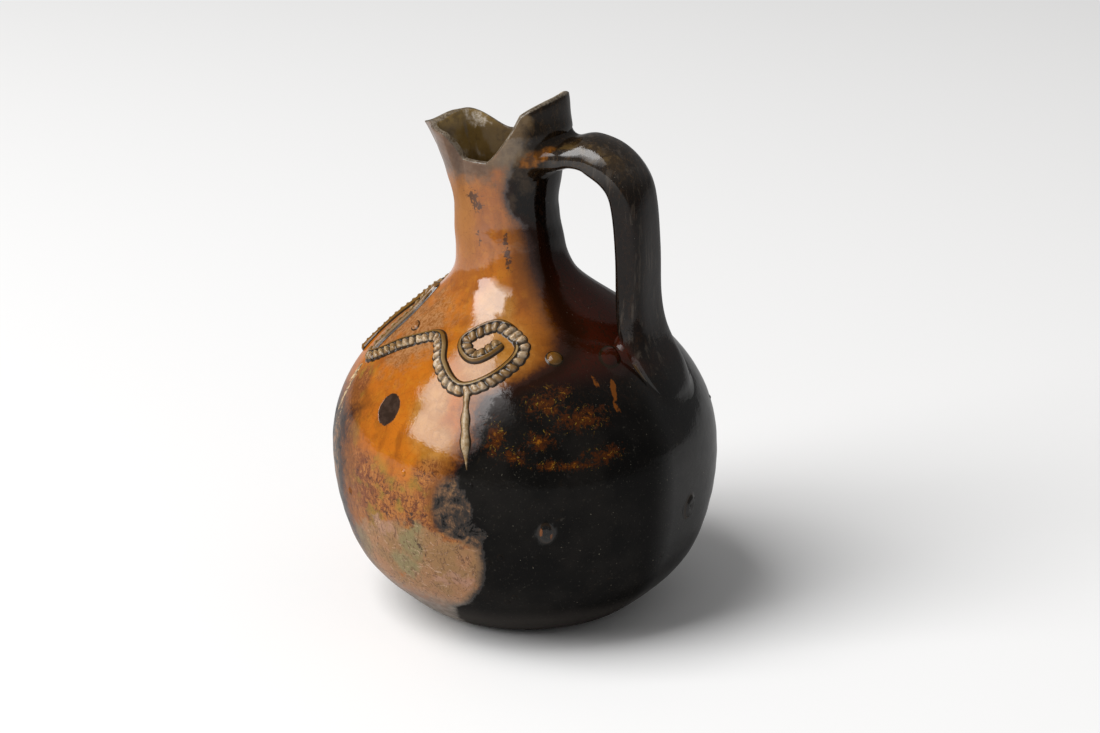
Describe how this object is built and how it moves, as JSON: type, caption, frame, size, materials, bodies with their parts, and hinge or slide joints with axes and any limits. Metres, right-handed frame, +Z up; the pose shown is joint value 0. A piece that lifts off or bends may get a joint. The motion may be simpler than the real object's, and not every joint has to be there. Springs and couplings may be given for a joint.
{
  "type": "pitcher",
  "caption": "Round-bellied earthenware pitcher with a narrow leaning neck, pinched pouring mouth, upright tongue, broad strap handle and applied notched scroll coils.",
  "frame": {"origin": "middle of the foot, on the table", "axes": "+Z up, +X from the foot's middle towards the handle, so the spout points to -X and the side seen in the picture faces -Y"},
  "size_m": [0.1881, 0.187, 0.2535],
  "materials": {
    "glazed_body": "glossy amber lead glaze darkened to brown-black by smoke over the handle side, crackled, with worn and stained patches low on the belly"
  },
  "bodies": {
    "root": {"pitcher": "glazed_body"}
  },
  "joints": []
}
